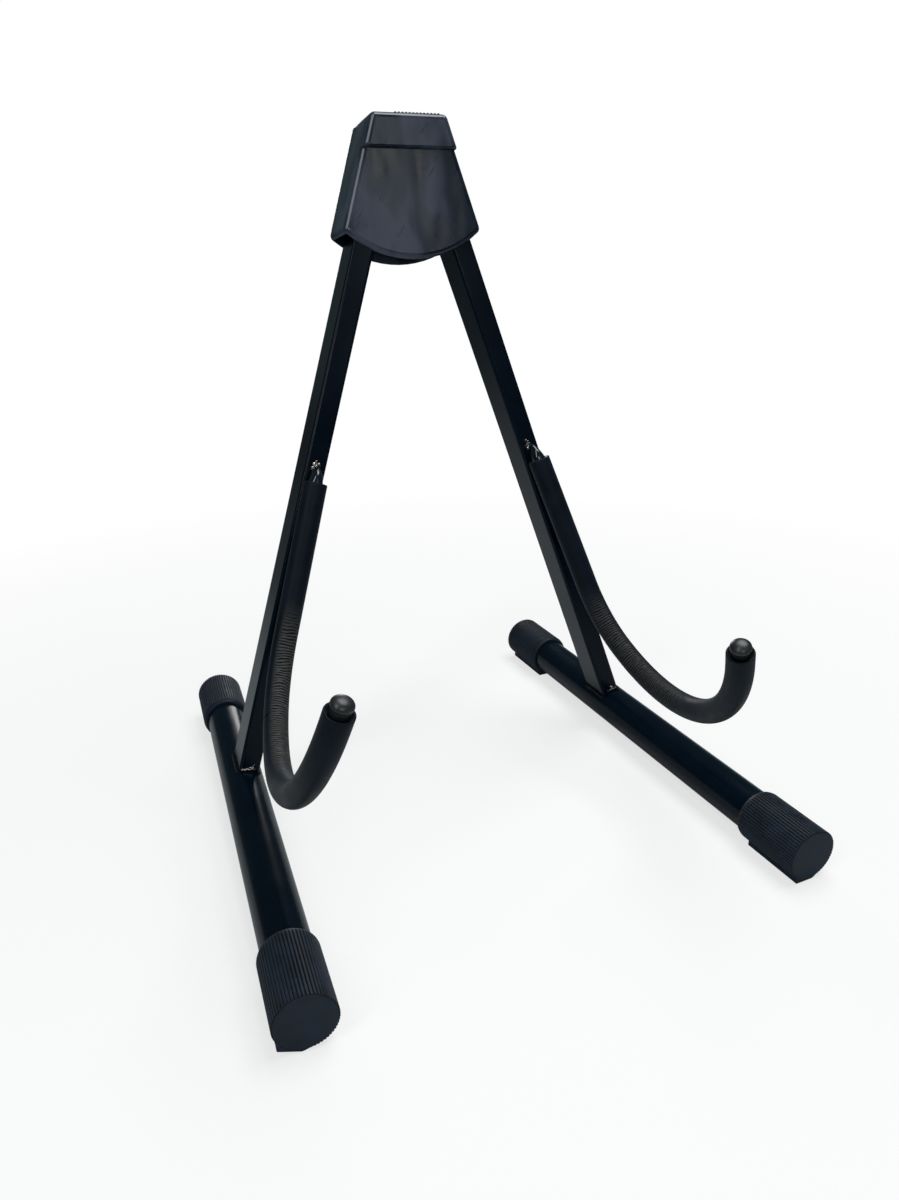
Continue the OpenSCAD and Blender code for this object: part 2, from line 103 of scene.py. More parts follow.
def at_hook(side):
    """Hook frame: origin at the top end of the foam, the hook running down along -Z."""
    out = shift(0, -LEG_DEPTH / 2 - HOOK_OUT, HOOK_UP)
    return in_leg(side) @ out @ turn("Z", HOOK_TURN[side]) @ turn("X", -HOOK_LEAN)


def along_hook(s):
    """Place on the hook's line, s past the top end of the foam."""
    place = Matrix()
    for radius, amount in HOOK_ROUTE:
        length = radius * math.radians(amount) if radius else amount
        part = min(s, length)
        if radius:
            bend = turn("X", -math.degrees(part / radius))
            place = place @ shift(0, -radius, 0) @ bend @ shift(0, radius, 0)
        else:
            place = place @ shift(0, 0, -part)
        s -= part
    return place @ shift(0, 0, -s)


HOOK_LEN = sum(r * math.radians(a) if r else a for r, a in HOOK_ROUTE)


# Materials

def linear(code):
    """sRGB hex code to a linear colour."""
    parts = [int(code[i:i + 2], 16) / 255 for i in (1, 3, 5)]
    return [c / 12.92 if c <= 0.04045 else ((c + 0.055) / 1.055) ** 2.4 for c in parts] + [1.0]


def grey(v):
    return [v, v, v, 1.0]


def add(tree, kind, inputs=None, **settings):
    """Adds a node. Inputs are sockets by name or number, given as values or as output sockets."""
    node = tree.nodes.new(kind)
    for name, value in settings.items():
        setattr(node, name, value)
    for key, value in (inputs or {}).items():
        if isinstance(value, bpy.types.NodeSocket):
            tree.links.new(value, node.inputs[key])
        else:
            node.inputs[key].default_value = value
    return node


def new_material(name):
    """A material with its tree, its shader and the place on the object, in metres."""
    material = bpy.data.materials.new(name)
    material.use_nodes = True
    tree = material.node_tree
    place = add(tree, "ShaderNodeTexCoord").outputs["Object"]
    return material, tree, tree.nodes["Principled BSDF"], place


def ramp(tree, factor, stops):
    """A colour ramp through (position, colour) stops."""
    node = add(tree, "ShaderNodeValToRGB", {"Fac": factor})
    while len(node.color_ramp.elements) < len(stops):
        node.color_ramp.elements.new(0.5)
    for element, (position, colour) in zip(node.color_ramp.elements, stops):
        element.position = position
        element.color = colour
    return node.outputs["Color"]


def two_tones(tree, factor, low, dark, high, pale):
    """A ramp from the dark hex colour at low to the pale one at high."""
    return ramp(tree, factor, [(low, linear(dark)), (high, linear(pale))])


def two_greys(tree, factor, low, less, high, more):
    """A ramp from one value at low to another at high, for roughness."""
    return ramp(tree, factor, [(low, grey(less)), (high, grey(more))])


def blend(tree, factor, a, b):
    """Colour a where factor is 0 and b where it is 1."""
    return add(tree, "ShaderNodeMix", {"Factor": factor, "A": a, "B": b},
               data_type="RGBA").outputs["Result"]


def span(tree, value, low, high, least=0.0, most=1.0):
    """From least where the value is low to most where it is high, and level beyond both."""
    return add(tree, "ShaderNodeMapRange", {"Value": value, "From Min": low, "From Max": high,
                                            "To Min": least, "To Max": most}).outputs["Result"]


def noise_of(tree, place, size, detail=2.0, rough=0.5):
    """Noise whose lumps are about size metres across."""
    return add(tree, "ShaderNodeTexNoise", {"Vector": place, "Scale": 1 / size, "Detail": detail,
                                            "Roughness": rough}).outputs["Fac"]


def bump(tree, height, depth, under=None):
    """Height as a bump of that depth in metres, over another bump's normal."""
    inputs = {"Height": height, "Strength": 1.0, "Distance": depth}
    if under:
        inputs["Normal"] = under
    return add(tree, "ShaderNodeBump", inputs).outputs["Normal"]


# Scuffs on the head: their slant, how far the noise is drawn out for them, and where in it they lie
SCUFF_ANGLE = 38
SCUFF_STRETCH = (1, 60, 20)
SCUFF_SHIFT = 0.55


def scuffs(tree, place):
    """Sparse hair-fine scuffs on the faces that look forward, about 0.3 mm wide and 6 mm long:
    noise drawn out along one direction, kept to a few patches."""
    turned = add(tree, "ShaderNodeMapping",
                 {"Vector": place, "Location": (SCUFF_SHIFT, 0, SCUFF_SHIFT),
                  "Rotation": (0, math.radians(SCUFF_ANGLE), 0), "Scale": SCUFF_STRETCH},
                 vector_type="TEXTURE")
    hair = span(tree, noise_of(tree, turned.outputs["Vector"], 0.4 * MM, 0.0), 0.74, 0.8)
    patches = add(tree, "ShaderNodeMapping",
                  {"Vector": place, "Location": (SCUFF_SHIFT, SCUFF_SHIFT, 0)})
    where = span(tree, noise_of(tree, patches.outputs["Vector"], 11 * MM, 0.0), 0.6, 0.66)
    return add(tree, "ShaderNodeMath", {0: hair, 1: where}, operation="MULTIPLY").outputs[0]


def moulded_abs():
    """ABS, injection moulded in a polished mould: satin blue-charcoal, with the cloudy waves and
    sink marks that thick ribs behind leave in its reflections, paler and darker cloudy patches
    painted into its colour as painted reflections, and hair-fine scuffs from use."""
    material, tree, shader, place = new_material("moulded_abs")
    tall = add(tree, "ShaderNodeMapping",
               {"Vector": place, "Scale": (1.0, 1.0, 0.45)}).outputs["Vector"]
    painted_reflection_cloud = noise_of(tree, tall, 17 * MM, 1.5)
    # The cloud paints paler and darker patches into the colour: painted reflections.
    colour = ramp(tree, painted_reflection_cloud, [(0.38, linear("#131b28")), (0.5, linear("#222b3c")),
                                (0.62, linear("#404657"))])
    wear_and_sheen = scuffs(tree, place)
    tree.links.new(blend(tree, wear_and_sheen, colour, linear("#15181c")), shader.inputs["Base Color"])
    tree.links.new(two_greys(tree, painted_reflection_cloud, 0.36, 0.17, 0.64, 0.27), shader.inputs["Roughness"])
    waves = bump(tree, noise_of(tree, tall, 17 * MM, 1.0), 0.7 * MM)
    skin = bump(tree, noise_of(tree, place, 0.5 * MM), 0.004 * MM, waves)
    tree.links.new(bump(tree, wear_and_sheen, -0.02 * MM, skin), shader.inputs["Normal"])
    return material


def powder_coat(name, gloss, shine, peel_depth):
    """Steel under black powder coat: semi-gloss blue-black, with the slight orange peel of the
    cured film. Gloss is its lowest roughness, and shine its specular level."""
    material, tree, shader, place = new_material(name)
    film = noise_of(tree, place, 30 * MM, 3.0)
    colour = two_tones(tree, film, 0.3, "#030d18", 0.7, "#05121e")
    tree.links.new(colour, shader.inputs["Base Color"])
    tree.links.new(two_greys(tree, film, 0.3, gloss, 0.7, gloss + 0.06), shader.inputs["Roughness"])
    shader.inputs["Specular IOR Level"].default_value = shine
    peel = noise_of(tree, place, 1.6 * MM, 1.0)
    tree.links.new(bump(tree, peel, peel_depth), shader.inputs["Normal"])
    return material


def coated_weld():
    """A weld seam under black powder coat: the ripples of the seam, rounded by the paint."""
    material, tree, shader, place = new_material("powder_coated_weld")
    ripple = noise_of(tree, place, 2.2 * MM)
    colour = two_tones(tree, ripple, 0.3, "#020406", 0.7, "#080c12")
    tree.links.new(colour, shader.inputs["Base Color"])
    shader.inputs["Roughness"].default_value = 0.3
    shader.inputs["Specular IOR Level"].default_value = 0.12
    tree.links.new(bump(tree, ripple, 0.5 * MM), shader.inputs["Normal"])
    return material


def moulded_rubber(side):
    """Rubber, compression moulded: matt blue-charcoal, with a dusty bloom in soft patches, and
    painted shade that keeps the grooves between the ribs near black. Ribs, grooves and the flat end
    are told apart by the distance from the axis of the floor tube."""
    material, tree, shader, place = new_material("moulded_rubber_" + side)
    tube = in_tube(side)
    placed = add(tree, "ShaderNodeMapping", {"Vector": place, "Location": tube.translation,
                                             "Rotation": tube.to_euler()}, vector_type="TEXTURE")
    across = add(tree, "ShaderNodeVectorMath", {0: placed.outputs[0], 1: (1, 0, 1)},
                 operation="MULTIPLY")
    from_axis = add(tree, "ShaderNodeVectorMath", {0: across.outputs[0]},
                    operation="LENGTH").outputs["Value"]
    groove_r = CAP_R - RIB_DEPTH
    rib = span(tree, from_axis, groove_r, CAP_R - 0.03 * MM)
    flat_end = span(tree, from_axis, groove_r - 0.1 * MM, groove_r - 0.3 * MM)
    free_of_painted_groove_shade = add(tree, "ShaderNodeMath", {0: rib, 1: flat_end}, operation="MAXIMUM").outputs[0]
    bloom = noise_of(tree, place, 9 * MM, 5.0, 0.6)
    colour = ramp(tree, bloom, [(0.35, linear("#0f1924")), (0.5, linear("#14212f")),
                                (0.68, linear("#1d2a3b"))])
    # Where neither the ribs nor the flat end are, the grooves are painted near black: painted
    # shade.
    tree.links.new(blend(tree, free_of_painted_groove_shade, linear("#04080c"), colour), shader.inputs["Base Color"])
    tree.links.new(two_greys(tree, bloom, 0.35, 0.5, 0.68, 0.68), shader.inputs["Roughness"])
    shader.inputs["Specular IOR Level"].default_value = 0.3
    grain = noise_of(tree, place, 0.6 * MM, 3.0)
    tree.links.new(bump(tree, grain, 0.04 * MM), shader.inputs["Normal"])
    return material


def foam_rubber():
    """NBR foam tube, extruded with closed cells: matt black skin with fine pores and a faint grey
    sheen where it curves away, a painted sheen that makes the skin between the creases paler, and
    painted shade in the creases. The pores are drawn at twice their real 0.3 mm so that they show."""
    material, tree, shader, place = new_material("nbr_foam")
    skin = noise_of(tree, place, 14 * MM, 5.0, 0.6)
    colour = two_tones(tree, skin, 0.35, "#08111b", 0.65, "#0f1924")
    painted_sheen = add(tree, "ShaderNodeAttribute", attribute_name="painted_sheen").outputs["Fac"]
    painted_crease_shade = add(tree, "ShaderNodeAttribute", attribute_name="painted_crease_shade").outputs["Fac"]
    # Between the creases the skin is painted a pale grey: painted sheen.
    pale = blend(tree, painted_sheen, colour, linear("#4c4d4d"))
    # The creases and the nick are painted near black: painted shade.
    tree.links.new(blend(tree, painted_crease_shade, pale, linear("#020304")), shader.inputs["Base Color"])
    tree.links.new(two_greys(tree, skin, 0.35, 0.46, 0.65, 0.56), shader.inputs["Roughness"])
    shader.inputs["Specular IOR Level"].default_value = 0.12
    shader.inputs["Sheen Weight"].default_value = 0.04
    shader.inputs["Sheen Roughness"].default_value = 0.4
    cells = noise_of(tree, place, 0.6 * MM, 3.0)
    tree.links.new(bump(tree, cells, 0.06 * MM), shader.inputs["Normal"])
    return material


def dipped_vinyl():
    """PVC, hot dipped: glossy grey-black, gently uneven where the dip has run."""
    material, tree, shader, place = new_material("dipped_pvc")
    run = noise_of(tree, place, 4 * MM)
    colour = two_tones(tree, run, 0.3, "#1c1f21", 0.7, "#2a2d2f")
    tree.links.new(colour, shader.inputs["Base Color"])
    shader.inputs["Roughness"].default_value = 0.36
    tree.links.new(bump(tree, run, 0.05 * MM), shader.inputs["Normal"])
    return material


def weld_steel():
    """Mild steel, MIG welded, left bare: bright puddled metal with dark oxide between the lumps."""
    material, tree, shader, place = new_material("mig_weld_steel")
    puddle = noise_of(tree, place, 1.3 * MM, 3.0)
    colour = ramp(tree, puddle, [(0.38, linear("#191a1c")), (0.5, linear("#77746f")),
                                 (0.62, linear("#d9d5cd"))])
    tree.links.new(colour, shader.inputs["Base Color"])
    shader.inputs["Metallic"].default_value = 1.0
    shader.inputs["Roughness"].default_value = 0.2
    tree.links.new(bump(tree, puddle, 0.15 * MM), shader.inputs["Normal"])
    return material


def zinc_steel():
    """Steel, zinc plated: dull silver with fine mottling."""
    material, tree, shader, place = new_material("zinc_plated_steel")
    spangle = noise_of(tree, place, 2 * MM, 3.0)
    colour = two_tones(tree, spangle, 0.3, "#8d9094", 0.7, "#b4b6b8")
    tree.links.new(colour, shader.inputs["Base Color"])
    shader.inputs["Metallic"].default_value = 1.0
    shader.inputs["Roughness"].default_value = 0.32
    return material


def black_oxide():
    """Steel, blackened: dark grey with a soft metallic gleam."""
    material, tree, shader, place = new_material("black_oxide_steel")
    stain = noise_of(tree, place, 2.5 * MM)
    colour = two_tones(tree, stain, 0.3, "#26272a", 0.7, "#3b3d40")
    tree.links.new(colour, shader.inputs["Base Color"])
    shader.inputs["Metallic"].default_value = 0.8
    shader.inputs["Roughness"].default_value = 0.36
    return material


def natural_nylon():
    """Nylon, moulded and undyed: milky off-white."""
    material, tree, shader, place = new_material("moulded_nylon")
    milk = noise_of(tree, place, 5 * MM)
    colour = two_tones(tree, milk, 0.3, "#cfcabc", 0.7, "#dcd8cc")
    tree.links.new(colour, shader.inputs["Base Color"])
    shader.inputs["Roughness"].default_value = 0.45
    return material


ABS = moulded_abs()
COAT = powder_coat("powder_coated_steel", 0.17, 0.15, 0.003 * MM)
ROD_COAT = powder_coat("powder_coated_rod", 0.09, 0.8, 0.001 * MM)
COATED_WELD = coated_weld()
RUBBER = {side: moulded_rubber(side) for side in SIDES}
FOAM = foam_rubber()
VINYL = dipped_vinyl()
WELD = weld_steel()
ZINC = zinc_steel()
OXIDE = black_oxide()
NYLON = natural_nylon()

NODE_FINISH = {
    "head_front_shell": ABS, "head_rear_shell": ABS, "pivot_bolt": OXIDE, "pivot_nut": ZINC,
    "pivot_washer": NYLON, "shell_screw": OXIDE, "leg": COAT, "pivot_sleeve": ZINC,
    "floor_tube": COAT, "hook_rod": ROD_COAT, "foam_sleeve": FOAM, "tip_cap": VINYL,
    "hook_weld": WELD, "foot_weld": COATED_WELD,
    "front_cap_left": RUBBER["left"], "front_cap_right": RUBBER["right"],
    "rear_cap_left": RUBBER["left"], "rear_cap_right": RUBBER["right"],
}


def dress_nodes():
    """Gives each CAD node its finish, found by its full name or by its name without the side."""
    for name, node in frame["nodes"].items():
        finish = NODE_FINISH.get(name) or NODE_FINISH[name.rsplit("_", 1)[0]]
        node.data.materials.clear()
        node.data.materials.append(finish)


# Pieces

def new_piece(name, shape, material, body, slot, *nodes):
    """Makes the bmesh a smooth-shaded piece that stands for its nodes."""
    mesh = bpy.data.meshes.new(name)
    shape.to_mesh(mesh)
    shape.free()
    for face in mesh.polygons:
        face.use_smooth = True
    mesh.materials.append(material)
    piece = bpy.data.objects.new(name, mesh)
    bpy.context.scene.collection.objects.link(piece)
    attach(piece, body)
    if nodes:
        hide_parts(*nodes)
    return piece


def between(low, high, v):
    """Smooth step from 0 at low to 1 at high."""
    t = min(max((v - low) / (high - low), 0.0), 1.0)
    return t * t * (3 - 2 * t)


# Foam: fine creases lie across the inner side of the bends, where the tube is squeezed. The real
# ones are 1.2 mm apart, and are drawn a little coarser so that they show. CREASED says where along
# the hook they start, are full, fade and end, CREASE_SIDE at which angle from the inner side they
# are deepest, and PAINTED_SHEEN how strongly the skin between them is painted paler: a painted
# sheen.
FOAM_SIDES = 64
CREASE_PITCH = 1.75 * MM
CREASE_DEPTH = 0.42 * MM
CREASED = {"left": (62 * MM, 88 * MM, 165 * MM, 205 * MM),
           "right": (84 * MM, 108 * MM, 186 * MM, 215 * MM)}
CREASE_SIDE = {"left": 14, "right": -14}
CREASE_SEED = {"left": 3.0, "right": 11.0}
PAINTED_SHEEN = {"left": 1.0, "right": 0.55}
FINE_STEP = 0.25 * MM
COARSE_STEP = 1.5 * MM
BORE_STEP = 4 * MM
RIM_R = 0.35 * MM
MOUTH_R = 5.7 * MM
MOUTH_DEPTH = 2.5 * MM
# One small cut in each sleeve: place along the hook, angle from its inner side, reach and width
NICK = {"left": (134.5 * MM, -84, 42, 0.8 * MM), "right": (150 * MM, -128, 30, 0.7 * MM)}
NICK_DEPTH = 0.9 * MM
NICK_SWAY = 0.5 * MM


def wander(s, length, around, rate, seed):
    """Noise from -1 to 1 over the skin, with lumps of that length along the hook."""
    return noise.noise(Vector((s / length, around * rate, seed)))


def foam_crease(s, around, side):
    """How far the skin sinks at s along the hook and at an angle from its inner side, and how
    much painted sheen it gets there."""
    sink = 0.0
    at, angle, reach, width = NICK[side]
    off = math.degrees(around) - angle
    if abs(off) < reach:
        sway = NICK_SWAY * math.sin(math.radians(off * 5))
        edge = between(0.2 * width, width, abs(s - at - sway))
        sink += NICK_DEPTH * (1 - (off / reach) ** 2) * (1 - edge)
    start, full, fade, end = CREASED[side]
    band = between(start, full, s) * (1 - between(fade, end, s))
    squeezed = between(0.4, 0.92, math.cos(around - math.radians(CREASE_SIDE[side])))
    if band * squeezed == 0:
        return sink, 0.0
    # The creases run together and apart, quiver, and are deep in some places and shut in others
    seed = CREASE_SEED[side]
    warp = 0.7 * wander(s, 9 * MM, around, 0.8, seed)
    quiver = 0.22 * wander(s, 2.6 * MM, around, 2.2, seed + 4)
    patch = max(0.8 + 0.8 * wander(s, 2.4 * MM, around, 1.8, seed + 7), 0.0)
    groove = (0.5 + 0.5 * math.sin(2 * math.pi * (s / CREASE_PITCH + warp + quiver))) ** 2
    return sink + CREASE_DEPTH * band * squeezed * patch * groove, PAINTED_SHEEN[side] * band * squeezed


def foam_profile(side):
    """Stations of the sleeve, s along the hook and the radius there: the outside going down, the
    rounded low end with its mouth, the bore going up, and the top end."""
    outside = []
    s = RIM_R
    while s < HOOK_LEN - RIM_R:
        outside.append((s, FOAM_R))
        s += FINE_STEP if CREASED[side][0] < s < CREASED[side][3] else COARSE_STEP
    mouth_end = HOOK_LEN - MOUTH_DEPTH
    low_end = [(HOOK_LEN - RIM_R, FOAM_R), (HOOK_LEN - 0.3 * RIM_R, FOAM_R - 0.2 * RIM_R),
               (HOOK_LEN, FOAM_R - RIM_R), (HOOK_LEN, MOUTH_R),
               (HOOK_LEN - 0.4 * MM, MOUTH_R - 0.35 * MM), (mouth_end, FOAM_BORE_R)]
    inside = [(mouth_end - i * BORE_STEP, FOAM_BORE_R)
              for i in range(1, int(mouth_end / BORE_STEP))]
    top_end = [(0.0, FOAM_BORE_R), (0.0, FOAM_R - RIM_R), (0.3 * RIM_R, FOAM_R - 0.2 * RIM_R)]
    return outside + low_end + inside + top_end


def drawn_out(shape, sides, count):
    """Draws a ring out into count rings. Gives them, the angle of each of their points from the
    inner side of the hook, and the edges of the first and the last."""
    ring = bmesh.ops.create_circle(shape, segments=sides, radius=1.0)["verts"]
    angles = [math.atan2(v.co.x, -v.co.y) for v in ring]
    first = edges = shape.edges[:]
    rings = [ring]
    for _ in range(count - 1):
        made = bmesh.ops.extrude_edge_only(shape, edges=edges)
        edges = [g for g in made["geom"]
                 if isinstance(g, bmesh.types.BMEdge) and len(g.link_faces) == 1]
        loop = {v for e in edges for v in e.verts}
        ring = [next(w for w in (e.other_vert(v) for e in v.link_edges) if w in loop) for v in ring]
        rings.append(ring)
    return rings, angles, first, edges


def foam_sleeve(side):
    """A ring drawn out station by station along the hook, then closed on itself."""
    shape = bmesh.new()
    painted_crease_shade = shape.verts.layers.float.new("painted_crease_shade")
    painted_sheen = shape.verts.layers.float.new("painted_sheen")
    stations = foam_profile(side)
    rings, angles, first, edges = drawn_out(shape, FOAM_SIDES, len(stations))
    hook = at_hook(side)
    for ring, (s, radius) in zip(rings, stations):
        place = hook @ along_hook(s)
        for v, angle in zip(ring, angles):
            sunk, wear_and_sheen = foam_crease(s, angle, side) if radius == FOAM_R else (0.0, 0.0)
            r = radius - sunk
            v.co = place @ Vector((r * math.sin(angle), -r * math.cos(angle), 0))
            # Painted shade in the creases and the nick.
            v[painted_crease_shade] = min(sunk / (0.5 * CREASE_DEPTH), 1.0)
            # Painted sheen on the skin between the creases.
            v[painted_sheen] = wear_and_sheen
    bmesh.ops.bridge_loops(shape, edges=first + edges)
    bmesh.ops.recalc_face_normals(shape, faces=shape.faces)
    piece = new_piece("foam_" + side, shape, FOAM, side + "_leg", "foam", "foam_sleeve_" + side)


# Hook rods: above the foam the rod bends back to the leg, pinched at the sides to an oval nose
ROD_SIDES = 48
ROD_STATIONS = 100
ROD_BEYOND = 4 * MM
NOSE_R = 7 * MM
NOSE_BEND = 94
NOSE_STATIONS = 24
NOSE_W = 3.2 * MM
NOSE_END = 12 * MM
PINCH_FROM = -1.5 * MM


def hook_rod(side):
    """A ring drawn up the hook and round the nose, cut off at the front of the leg."""
    stations = [along_hook(HOOK_LEN + ROD_BEYOND)]
    stations += [along_hook(HOOK_LEN * (1 - i / ROD_STATIONS)) for i in range(ROD_STATIONS + 1)]
    nose = shift(0, NOSE_R, 0)
    stations += [nose @ turn("X", -NOSE_BEND * i / NOSE_STATIONS) @ nose.inverted()
                 for i in range(1, NOSE_STATIONS + 1)]
    stations.append(stations[-1] @ shift(0, 0, NOSE_END))
    shape = bmesh.new()
    rings, angles, first, _ = drawn_out(shape, ROD_SIDES, len(stations))
    pinched = NOSE_W / 2 / ROD_R
    for ring, place in zip(rings, stations):
        for v, angle in zip(ring, angles):
            x, y, z = place @ Vector((ROD_R * math.sin(angle), -ROD_R * math.cos(angle), 0))
            pinch = 1 - (1 - pinched) * between(PINCH_FROM, 1.1 * (NOSE_R + ROD_R), z)
            v.co = (x * pinch, y, z)
    bmesh.ops.edgeloop_fill(shape, edges=first)
    bmesh.ops.transform(shape, matrix=at_hook(side), verts=shape.verts)
    leg = in_leg(side)
    everything = shape.verts[:] + shape.edges[:] + shape.faces[:]
    cut = bmesh.ops.bisect_plane(shape, geom=everything, clear_outer=True,
                                 plane_co=leg @ Vector((0, -LEG_DEPTH / 2, 0)),
                                 plane_no=leg.to_3x3() @ Vector((0, 1, 0)))
    rim = [g for g in cut["geom_cut"] if isinstance(g, bmesh.types.BMEdge)]
    bmesh.ops.edgeloop_fill(shape, edges=rim)
    bmesh.ops.recalc_face_normals(shape, faces=shape.faces)
    new_piece("rod_" + side, shape, ROD_COAT, side + "_leg", "painted_steel", "hook_rod_" + side)


# Vinyl tips: a dome that overhangs a narrower skirt, which sinks into the mouth of the foam
TIP_R = 4.9 * MM
TIP_RIM_UP = 3.7 * MM
TIP_TOP = 6.8 * MM
TIP_SKIRT_R = 4.35 * MM
TIP_SKIRT_DOWN = 1.6 * MM
TIP_BORE_R = 4.06 * MM
TIP_BORE_UP = 4.1 * MM
TIP_SIDES = 56


def tip_dome(side):
    """The cap's outline, radius and height over the end of the foam, spun round its axis."""
    dome = TIP_TOP - TIP_RIM_UP
    # The power under 1 fills out the shoulder of the dome, and its rim is rounded below
    profile = [(TIP_R * math.sin(a) ** 0.9, TIP_RIM_UP + dome * math.cos(a))
               for a in [math.radians(6 * i) for i in range(16)]]
    profile += [(TIP_R - 0.05 * MM, TIP_RIM_UP - 0.5 * MM),
                (TIP_R - 0.3 * MM, TIP_RIM_UP - 0.95 * MM),
                (TIP_SKIRT_R + 0.1 * MM, TIP_RIM_UP - 1.25 * MM),
                (TIP_SKIRT_R, TIP_RIM_UP - 1.7 * MM), (TIP_SKIRT_R, -TIP_SKIRT_DOWN),
                (TIP_BORE_R, -TIP_SKIRT_DOWN), (TIP_BORE_R, TIP_BORE_UP), (0.0, TIP_BORE_UP)]
    shape = bmesh.new()
    chain = [shape.verts.new((r, 0, z)) for r, z in profile]
    edges = [shape.edges.new(pair) for pair in zip(chain, chain[1:])]
    bmesh.ops.spin(shape, geom=chain + edges, cent=(0, 0, 0), axis=(0, 0, 1), angle=2 * math.pi,
                   steps=TIP_SIDES, use_merge=True)
    bmesh.ops.remove_doubles(shape, verts=shape.verts, dist=0.01 * MM)
    bmesh.ops.recalc_face_normals(shape, faces=shape.faces)
    end = at_hook(side) @ along_hook(HOOK_LEN) @ turn("X", 180)
    bmesh.ops.transform(shape, matrix=end, verts=shape.verts)
    new_piece("tip_" + side, shape, VINYL, side + "_leg", "tip_vinyl", "tip_cap_" + side)


# Bare weld lumps, in the frame of the leg: place and radius of each, in millimetres
HOOK_LUMPS = {
    "left": ((-1.6, -11.6, 189.3, 1.3), (1.5, -11.7, 189.4, 1.4), (-0.2, -12.2, 190.4, 1.5),
             (-1.5, -11.6, 191.7, 1.2), (0.9, -11.6, 191.8, 1.3), (-0.4, -11.5, 193.0, 1.1)),
    "right": ((1.3, -11.6, 189.0, 1.3), (-1.1, -11.8, 189.4, 1.4), (0.4, -12.1, 190.6, 1.4),
              (-1.2, -11.6, 191.6, 1.2), (-0.6, -11.5, 192.9, 1.1), (-1.3, -11.4, 193.9, 1.0)),
}
FOOT_LUMPS = {
    "left": ((-4.3, -11.4, 11.1, 0.8), (-3.2, -11.6, 11.3, 1.0), (-2.0, -11.7, 11.6, 0.95),
             (-0.9, -11.8, 12.1, 1.15), (0.4, -11.7, 12.3, 1.05), (1.6, -11.6, 12.5, 1.1),
             (2.7, -11.5, 12.3, 0.9), (1.1, -11.2, 13.7, 0.7), (1.9, -11.1, 14.6, 0.6)),
    "right": ((-2.0, -11.5, 11.9, 0.75), (-0.9, -11.6, 12.1, 0.95), (0.3, -11.8, 12.2, 1.15),
              (1.5, -11.8, 12.2, 1.2), (2.7, -11.6, 12.0, 1.05), (3.8, -11.5, 11.6, 0.85),
              (1.8, -11.2, 13.4, 0.9), (0.9, -11.1, 14.2, 0.6)),
}
LUMP_GRAIN = 0.13 * MM
PUCKER_DEPTH = 0.16 * MM
PUCKER_SIZE = 0.8 * MM


def weld_lumps(name, side, lumps, *nodes):
    """Lumps run together into one bead: fused by a remesh, then puckered."""
    shape = bmesh.new()
    for x, y, z, r in lumps:
        lump = bmesh.ops.create_icosphere(shape, subdivisions=3, radius=r * MM)["verts"]
        bmesh.ops.translate(shape, verts=lump, vec=(x * MM, y * MM, z * MM))
    bmesh.ops.transform(shape, matrix=in_leg(side), verts=shape.verts)
    mesh = bpy.data.meshes.new("lumps")
    shape.to_mesh(mesh)
    shape.free()
    loose = bpy.data.objects.new("lumps", mesh)
    bpy.context.scene.collection.objects.link(loose)
    fuse = loose.modifiers.new("fuse", "REMESH")
    fuse.mode = "VOXEL"
    fuse.voxel_size = LUMP_GRAIN
    fused = loose.evaluated_get(bpy.context.evaluated_depsgraph_get()).to_mesh()
    bead = bmesh.new()
    bead.from_mesh(fused)
    bpy.data.objects.remove(loose)
    bpy.data.meshes.remove(mesh)
    bead.normal_update()
    for v, normal in [(v, v.normal.copy()) for v in bead.verts]:
        v.co += normal * PUCKER_DEPTH * noise.noise(v.co / PUCKER_SIZE)
    bmesh.ops.smooth_vert(bead, verts=bead.verts, factor=0.5,
                          use_axis_x=True, use_axis_y=True, use_axis_z=True)
    new_piece(name + "_" + side, bead, WELD, side + "_leg", "bare_weld", *nodes)


# Stage

# The share of the white backdrop that a reflection sees. Behind the black gloss in the photo the
# surroundings were dim.
SURROUNDINGS = 0.03
# Distances from the origin between which the floor turns into the plain white backdrop
FLOOR_FADE = (0.25, 0.7)
FLOOR_SIZE = 20

# Softboxes: place, target, width and height, all in metres, and power in watts. The strips are
# tall and narrow so that rounded edges, rods and the gloss of the head mirror them as streaks.
LIGHTS = {
    "overhead": ((0.35, 0.05, 1.3), (0, -0.05, 0.1), (0.9, 0.8), 12.5),
    "left_strip": ((-0.78, -0.48, 0.95), (0, 0, 0.3), (0.28, 1.2), 4.6),
    "rear": ((0.45, 1.7, 0.45), (0, 0.05, 0.2), (0.6, 0.5), 6.5),
    "low_front": ((-0.15, -0.75, 0.4), (0, -0.15, 0.08), (0.25, 0.25), 0.8),
    "right_strip": ((0.42, -1.11, 0.68), (0, 0, 0.33), (0.07, 0.8), 0.5),
}


def make_camera():
    data = bpy.data.cameras.new("camera")
    data.sensor_width = SENSOR_WIDTH
    data.lens = FOCAL_PX * SENSOR_WIDTH / max(PHOTO_SIZE)
    data.clip_start = 0.01
    data.clip_end = 50
    camera = bpy.data.objects.new("camera", data)
    camera.matrix_world = (shift(*CAMERA_PLACE) @ turn("Z", -CAMERA_YAW)
                           @ turn("X", 90 - CAMERA_PITCH) @ turn("Z", CAMERA_ROLL))
    bpy.context.scene.collection.objects.link(camera)
    bpy.context.scene.camera = camera


def white_share(tree):
    """How much of the white backdrop a ray sees: the camera all of it, a reflection a small part,
    and light that falls on the stand none."""
    path = add(tree, "ShaderNodeLightPath").outputs
    return add(tree, "ShaderNodeMath",
               {0: path["Is Glossy Ray"], 1: SURROUNDINGS, 2: path["Is Camera Ray"]},
               operation="MULTIPLY_ADD", use_clamp=True).outputs[0]


